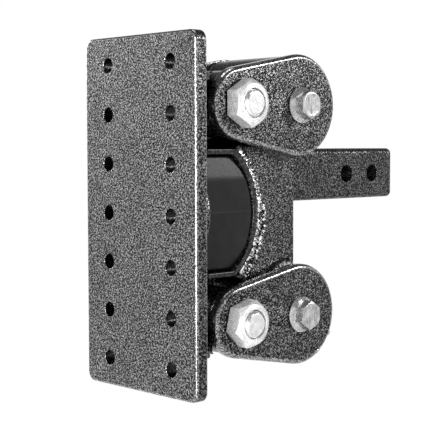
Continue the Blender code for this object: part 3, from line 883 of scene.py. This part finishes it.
def make_shank():
    low, high = box("shank")
    half = high.y
    mid_z = (low.z + high.z) / 2
    shape = Shape()
    rings = []
    for level, inset in rim(low.x, high.x, 0.5, SHANK_END_R):
        outline = rounded_rectangle(half - inset, half - inset, SHANK_CORNER_R - inset, mid_z)
        rings.append(shape.ring([along_x(u, v, level) for u, v in outline]))
    shape.solid(rings)
    shank = stand_in("shank", shape, shank_shaded_coat)
    for i, place in enumerate(opening_centres("pin_hole")):
        flare = 0.9
        reach = half + 2
        profile = [(-reach, PIN_HOLE_R + flare + 2), (-half, PIN_HOLE_R + flare),
                   (-half + 0.3, PIN_HOLE_R + 0.35), (-half + flare, PIN_HOLE_R),
                   (half - flare, PIN_HOLE_R), (half - 0.3, PIN_HOLE_R + 0.35),
                   (half, PIN_HOLE_R + flare), (reach, PIN_HOLE_R + flare + 2)]
        cut(shank, f"pin_hole_{i}", Shape().turned(profile, place.x, place.z, along_y, SMALL_ROUND))
    barrel_low, barrel_high = box("torsion_barrel_top")
    barrel = (barrel_low + barrel_high) / 2
    cope = [(-half - 2, barrel_high.z - barrel.z + 2 * GAP), (half + 2, barrel_high.z - barrel.z + 2 * GAP)]
    cut(shank, "barrel_cope", Shape().turned(cope, barrel.x, barrel.z, along_y))


def frame_outline():
    """The side plates' outline."""
    cup_r = box("cushion_cup")[1].x - CUP_CENTRE_X + GAP
    barrel = centre("torsion_barrel_top")
    barrel_r = box("torsion_barrel_top")[1].z - barrel.z + GAP
    rear_x = box("side_plate_near")[1].x
    horn_deg = math.degrees(math.asin(box("cushion_cup")[1].z / cup_r))
    rear_deg = 360 - math.degrees(math.acos((rear_x - barrel.x) / barrel_r))
    front = arc(CUP_CENTRE_X, 0, cup_r, 0, horn_deg, 28)[1:]
    under = arc(barrel.x, barrel.z, barrel_r, 228, rear_deg, 28)
    return mirrored(front + under) + [(CUP_CENTRE_X + cup_r, 0.0)]


def make_frame_plates():
    points = frame_outline()
    for side in ("near", "far"):
        low, high = box("side_plate_" + side)
        shape = Shape().plate(lambda inset: offset(points, inset), [], low.y, high.y, along_y)
        stand_in("side_plate_" + side, shape, link_shaded_coat)
    low, high = box("frame_rear_plate")
    points = [(low.y, low.z), (high.y, low.z), (high.y, high.z), (low.y, high.z)]
    shape = Shape().plate(lambda inset: offset(points, inset), [], low.x, high.x, along_x)
    stand_in("frame_rear_plate", shape, link_shaded_coat)


def make_cup():
    low, high = box("cushion_cup")
    outer_r = high.x - CUP_CENTRE_X
    inner_r = outer_r - CUP_WALL
    lip_z = high.z
    lip_inner_z = lip_z - CUP_LIP
    outer_deg = math.degrees(math.asin(lip_z / outer_r))
    inner_deg = math.degrees(math.asin(lip_inner_z / inner_r))
    lip_top = [(low.x, lip_z), (low.x, lip_inner_z)]
    lip_bottom = [(u, -v) for u, v in reversed(lip_top)]
    points = arc(CUP_CENTRE_X, 0, outer_r, -outer_deg, outer_deg, 48) + lip_top
    points += arc(CUP_CENTRE_X, 0, inner_r, inner_deg, -inner_deg, 48) + lip_bottom
    points = softened(points, 3.0, 5, 12.0)
    shape = Shape().plate(lambda inset: offset(points, inset), [], low.y, high.y, along_y, (1.2, 1.2))
    cup = stand_in("cushion_cup", shape, smooth_coat)
    bore = [(inner_r + CUP_CENTRE_X - 6, SCREW_HOLE_R), (high.x + 6, SCREW_HOLE_R)]
    hole = Shape().turned(bore, 0, 0, along_x, SMALL_ROUND)
    cut(cup, "screw_hole", hole)


def make_cushion():
    """A rubber block, seated on the cup's curve, with a mould line at mid height."""
    low, high = box("rubber_cushion")
    seat_r = box("cushion_cup")[1].x - CUP_CENTRE_X - CUP_WALL - GAP
    wide, tall = high.y, high.z
    upper = [(wide, CUSHION_FLAT_Z), (wide - CUSHION_LEAN, tall)]
    upper += [(-u, v) for u, v in reversed(upper)]
    corners = upper + [(-u, -v) for u, v in upper]
    outline = divided(softened(corners, 3.0, 4, 5.0), 0.9)
    shape = Shape()

    def seamed(inset):
        """The outline drawn in, all but the mould line."""
        points = []
        for u, v in offset(outline, inset + SEAM_HIGH):
            rise = SEAM_HIGH * math.exp(-(v / SEAM_HALF) ** 2)
            points.append((u + math.copysign(rise, u), v))
        return points

    def flat(points, x):
        return shape.ring([along_x(u, v, x) for u, v in points])

    def seated(points, inset=0.0):
        return shape.ring([along_x(u, v, CUP_CENTRE_X + math.sqrt(seat_r ** 2 - v ** 2) - inset)
                           for u, v in points])

    rings = [flat(seamed(9.0), low.x + 0.6), flat(seamed(8.0), low.x)]
    for depth, inset in rim(0.0, 3.0, 3.0, 0.0)[:-1]:
        rings.append(flat(seamed(inset), low.x + depth))
    for depth in (6.0, 10.0):
        rings.append(flat(seamed(0.0), low.x + depth))
    for inset in (3.0, 1.8, 0.8, 0.2):
        rings.append(seated(seamed((3.0 - inset) * 0.35), inset))
    for share in (0.9, 0.7, 0.5, 0.3):
        rings.append(seated([(u * share, v * share) for u, v in outline]))
    bore = [(SCREW_HOLE_R * u / math.hypot(u, v), SCREW_HOLE_R * v / math.hypot(u, v)) for u, v in outline]
    rings += [seated(bore), flat(bore, CUSHION_BORE_END_X)]
    shape.solid(rings)
    stand_in("rubber_cushion", shape, black_rubber)


def turn_to_x(point):
    """A point drawn along Y about the origin, stood along X."""
    return Vector((point.y, point.x, point.z))


def make_cushion_screw():
    low, high = box("cushion_washer")
    shape = Shape().tube(high.z, SCREW_HOLE_R, low.x, high.x, 0, 0, along_x, 0.5, SMALL_ROUND)
    stand_in("cushion_washer", shape, bright_zinc)
    washer = high.x + GAP
    low, high = box("cushion_screw")
    origin = Vector((0, 0, 0))
    face_r = SCREW_FLATS / 2 - 0.5
    shape = Shape()
    rings = [round_ring(shape, origin, r, 0, level, 1) for level, r in
             ((low.x, SCREW_R - 1), (low.x + 1, SCREW_R), (washer, SCREW_R), (washer, face_r),
              (washer + 0.4, face_r))]
    rings.append(hex_ring(shape, origin, SCREW_FLATS, 0, washer + 0.6, 1))
    rings.append(hex_ring(shape, origin, SCREW_FLATS, 0, 0, 1, (high.x, face_r)))
    rings.append(round_ring(shape, origin, face_r, 0, high.x, 1))
    rings.append(round_ring(shape, origin, 4.0, 0, high.x - 0.3, 1))
    shape.solid(rings)
    for vert in shape.bm.verts:
        vert.co = turn_to_x(vert.co)
    stand_in("cushion_screw", shape, bright_zinc)


# Welds ----------------------------------------------------------------------------------------------

def bead(shape, path, leg_a, leg_b, seed=0, bulge=0.4, rough=0.12, crescent=0.5):
    """A weld bead in the corner along path. leg_a and leg_b give, for each point, the vectors
    from the corner to the bead's toes along the two surfaces."""
    lengths = [0.0]
    for a, b in zip(path, path[1:]):
        lengths.append(lengths[-1] + (Vector(b) - Vector(a)).length)
    total = lengths[-1]
    count = max(4, int(total / BEAD_STEP))
    rings = []
    k = 0
    for step in range(count + 1):
        run = total * step / count
        while k < len(path) - 2 and lengths[k + 1] < run:
            k += 1
        share = (run - lengths[k]) / (lengths[k + 1] - lengths[k])
        corner = Vector(path[k]).lerp(Vector(path[k + 1]), share)
        first = Vector(leg_a[k]).lerp(Vector(leg_a[k + 1]), share)
        second = Vector(leg_b[k]).lerp(Vector(leg_b[k + 1]), share)
        end = min(run, total - run)
        taper = min(1.0, 0.35 + 0.65 * math.sqrt(min(end / 3.0, 1.0)))
        points = [corner - (first + second) * 0.08]
        for i in range(BEAD_ARC + 1):
            t = i / BEAD_ARC
            flat = first * (1 - t) + second * t
            full = first * math.cos(math.pi / 2 * t) + second * math.sin(math.pi / 2 * t)
            hump = math.sin(math.pi * t)
            wave = abs(math.sin(math.pi * (run / BEAD_PITCH + crescent * hump))) ** 0.6
            wobble = noise.noise(Vector((run * 0.22 + seed, t * 1.5, seed * 0.7)))
            swell = 1 + rough * (wave - 0.6) * hump + 0.14 * wobble
            points.append(corner + (flat * (1 - bulge) + full * bulge) * swell * taper)
        rings.append(shape.ring(points))
    shape.solid(rings)


def arc_bead(shape, u, v, radius, start, end, y, leg_out, leg_y, seed, steps=60, drift=0.0, **style):
    """A bead round an axis along Y. leg_out points away from the axis if positive."""
    path, first, second = [], [], []
    for i in range(steps + 1):
        angle = math.radians(start + (end - start) * i / steps)
        out = Vector((math.cos(angle), 0, math.sin(angle)))
        away = radius + drift * noise.noise(Vector((i * 0.13, seed, 0)))
        path.append(Vector((u, y, v)) + out * away)
        first.append(out * leg_out)
        second.append(Vector((0, leg_y, 0)))
    bead(shape, path, first, second, seed, **style)


def straight_bead(shape, start, end, leg_a, leg_b, seed, **style):
    bead(shape, [Vector(start), Vector(end)], [Vector(leg_a)] * 2, [Vector(leg_b)] * 2, seed, **style)


def spatter(shape, places, seed):
    """Small beads of metal thrown off the weld: (place, radius)."""
    for i, (place, radius) in enumerate(places):
        made = bmesh.ops.create_icosphere(shape.bm, subdivisions=2, radius=radius * MM)
        for vert in made["verts"]:
            lump = 1 + 0.35 * noise.noise(vert.co / MM / radius + Vector((seed, i, 0)))
            vert.co = vert.co * lump + Vector(place) * MM


def make_frame_welds():
    cup_r = box("cushion_cup")[1].x - CUP_CENTRE_X
    barrel = {side: centre("torsion_barrel_" + side) for side in ("top", "bottom")}
    barrel_r = box("torsion_barrel_top")[1].z - barrel["top"].z
    rear_x = box("side_plate_near")[1].x
    for side, hand in (("near", -1), ("far", 1)):
        face = hand * max(abs(corner.y) for corner in box("side_plate_" + side))
        shape = Shape()
        arc_bead(shape, CUP_CENTRE_X, 0, cup_r - 0.2, -50, 50, face, 9.0, hand * 4.4, 3 + hand,
                 drift=1.2, bulge=0.8, rough=0.35)
        arc_bead(shape, CUP_CENTRE_X, 0, cup_r + 8.0, -48, 6, face, 6.0, hand * 3.4, 7 + hand,
                 drift=2.0, bulge=1.0, rough=0.4)
        extra("cup_weld_" + side, shape, bead_sheen_coat, "cushion_cup")
        # Welds where the barrels meet the side plates, drawn wide in the dark smooth coat: part weld, part
        # painted shadow in the corner under the links.
        shape = Shape()
        arc_bead(shape, barrel["top"].x, barrel["top"].z, barrel_r, 224, 274, face,
                 6.5, hand * 4.0, 11 + hand)
        arc_bead(shape, barrel["bottom"].x, barrel["bottom"].z, barrel_r, 86, 136, face,
                 6.5, hand * 4.0, 13 + hand)
        extra("barrel_weld_and_shade_" + side, shape, smooth_coat, "side_plate_" + side)

        shank_low, shank_high = box("shank")
        inner = hand * shank_high.y
        shape = Shape()
        straight_bead(shape, (rear_x, inner, shank_low.z + 3), (rear_x, inner, 52.0),
                      (5.5, 0, 0), (0, hand * 6.5, 0), 17 + hand)
        plate_low, plate_high = box("frame_rear_plate")
        straight_bead(shape, (plate_high.x, inner, plate_low.z + 4), (plate_high.x, inner, plate_high.z - 2),
                      (4.5, 0, 0), (0, -hand * 4.5, 0), 19 + hand)
        extra("rear_corner_weld_" + side, shape, smooth_coat, "shank")
    shape = Shape()
    straight_bead(shape, (plate_high.x, -20, shank_low.z), (plate_high.x, 20, shank_low.z),
                  (5, 0, 0), (0, 0, -4.5), 23)
    straight_bead(shape, (plate_high.x, -22, plate_low.z), (plate_high.x, 22, plate_low.z),
                  (5, 0, -0.6), (0, 0, 4.5), 29)
    reach = math.sqrt((barrel_r + 2 * GAP) ** 2 - (shank_high.z - barrel["top"].z) ** 2)
    corner_x = barrel["top"].x + reach
    straight_bead(shape, (corner_x, -20, shank_high.z), (corner_x, 20, shank_high.z),
                  (5.5, 0, 0), (2.0, 0, 3.6), 31)
    extra("rear_weld", shape, smooth_coat, "shank")


def make_plate_welds():
    barrel = {side: centre("pivot_barrel_" + side) for side in ("top", "bottom")}
    barrel_r = box("pivot_barrel_top")[1].z - barrel["top"].z
    back = box("mounting_plate")[1].x
    disc_x = box("strike_disc")[0].x
    shape = Shape()
    for side, up in (("top", 1), ("bottom", -1)):
        low, high = box("plate_gusset_" + side)
        outer = high.z if up > 0 else low.z
        straight_bead(shape, (back, -63, outer), (back, 63, outer), (5, 0, 0), (0, 0, up * 5), 37 + up)
        straight_bead(shape, (high.x, -41, outer), (high.x, 41, outer),
                      (-4.5, 0, 0), (3.4, 0, up * 3.0), 41 + up)
    extra("gusset_weld", shape, smooth_coat, "mounting_plate")
    shape = Shape()
    for side, hand in (("near", -1), ("far", 1)):
        low, high = box("bracket_ear_" + side)
        face = low.y if hand < 0 else high.y
        straight_bead(shape, (back, face, low.z + 2), (back, face, high.z - 2),
                      (5, 0, 0), (0, hand * 5, 0), 43 + hand)
        straight_bead(shape, (disc_x, face, -44), (disc_x, face, 44),
                      (-4.5, 0, 0), (0, hand * 4.5, 0), 47 + hand)
        arc_bead(shape, barrel["top"].x, barrel["top"].z, barrel_r, 144, 209, face,
                 4.5, hand * 4.5, 51 + hand)
        arc_bead(shape, barrel["bottom"].x, barrel["bottom"].z, barrel_r, 151, 216, face,
                 4.5, hand * 4.5, 53 + hand)
    extra("ear_weld", shape, smooth_coat, "mounting_plate")


def make_spatter():
    """Two groups of small beads on the rounded rear edge of the lower near link."""
    rear = centre("bottom_axle")
    low, high = box("bottom_link_near")
    places = []
    for degrees, inset, depth, size in SPATTER:
        angle = math.radians(degrees)
        radius = high.x - rear.x - inset
        place = (rear.x + radius * math.cos(angle), low.y + depth, rear.z + radius * math.sin(angle))
        places.append((place, size))
    shape = Shape()
    spatter(shape, places, 5)
    extra("link_spatter", shape, worn_zinc, "bottom_link_near")


# Stage ---------------------------------------------------------------------------------------------

def make_camera():
    aim = Vector(CAMERA_AIM).normalized()
    level = aim.cross(Vector((0, 0, 1))).normalized()
    upright = level.cross(aim)
    roll = math.radians(CAMERA_ROLL_DEG)
    right = level * math.cos(roll) + upright * math.sin(roll)
    up = right.cross(aim)
    camera = bpy.data.objects.new("camera", bpy.data.cameras.new("camera"))
    camera.data.lens = CAMERA_LENS
    camera.data.clip_start = 0.01
    camera.data.clip_end = 50.0
    turn = Matrix((right, up, -aim)).transposed().to_4x4()
    camera.matrix_world = Matrix.Translation(CAMERA_PLACE) @ turn
    bpy.context.scene.collection.objects.link(camera)
    bpy.context.scene.camera = camera


def area_light(name, place, size, power):
    """A lamp that faces the middle of the part."""
    light = bpy.data.lights.new(name, "AREA")
    light.shape = "RECTANGLE"
    light.size, light.size_y = size
    light.energy = power
    lamp = bpy.data.objects.new(name, light)
    bpy.context.scene.collection.objects.link(lamp)
    lamp.location = place
    lamp.rotation_mode = "QUATERNION"
    lamp.rotation_quaternion = ((CAD_LOW + CAD_HIGH) / 2 - Vector(place)).to_track_quat("-Z", "Y")


def make_world():
    """White at the horizon and below, and dimmer overhead."""
    world = bpy.data.worlds.new("studio")
    bpy.context.scene.world = world
    world.use_nodes = True
    tree = world.node_tree
    background = tree.nodes["Background"]
    place = tree.nodes.new("ShaderNodeTexCoord")
    split = tree.nodes.new("ShaderNodeSeparateXYZ")
    ramp = tree.nodes.new("ShaderNodeValToRGB")
    tree.links.new(place.outputs["Generated"], split.inputs["Vector"])
    tree.links.new(split.outputs["Z"], ramp.inputs["Fac"])
    elements = ramp.color_ramp.elements
    elements[0].position, elements[0].color = WORLD_BAND[0], (*[WORLD_BRIGHT] * 3, 1.0)
    elements[1].position, elements[1].color = WORLD_BAND[1], (*[WORLD_DIM] * 3, 1.0)
    tree.links.new(ramp.outputs["Color"], background.inputs["Color"])


def make_floor():
    shape = Shape()
    edge = [(FLOOR_Z - 10, FLOOR_R - 5), (FLOOR_Z - 5, FLOOR_R), (FLOOR_Z, FLOOR_R - 5)]
    shape.turned(edge, 0, 0, along_z)
    n = Nodes("studio_floor", 0.0, 0.8)
    cloud = n.noise(400.0, detail=2.0)
    material = n.finish(n.ramp(cloud, (0.3, 0.86), (0.7, 0.9)))
    floor = make_object("studio_floor", shape, material)


make_mounting_plate()
make_bracket()
make_pivot_barrels()
make_links()
make_lock_nuts()
make_pivot_bolts()
make_flange_bolts()
make_torsion_pivots()
make_shank()
make_frame_plates()
make_cup()
make_cushion()
make_cushion_screw()
make_frame_welds()
make_plate_welds()
make_spatter()

make_camera()
make_world()
make_floor()
bpy.context.scene.view_settings.view_transform = "Standard"
area_light("key", (-1.5, -0.62, -0.02), (0.8, 0.8), 52)
area_light("front", (1.2, -1.15, 0.6), (0.5, 0.35), 11)
area_light("rear", (-0.3, 1.8, 0.6), (0.8, 0.8), 14)
area_light("overhead", (0.2, 0.0, 1.8), (1.0, 1.0), 14)
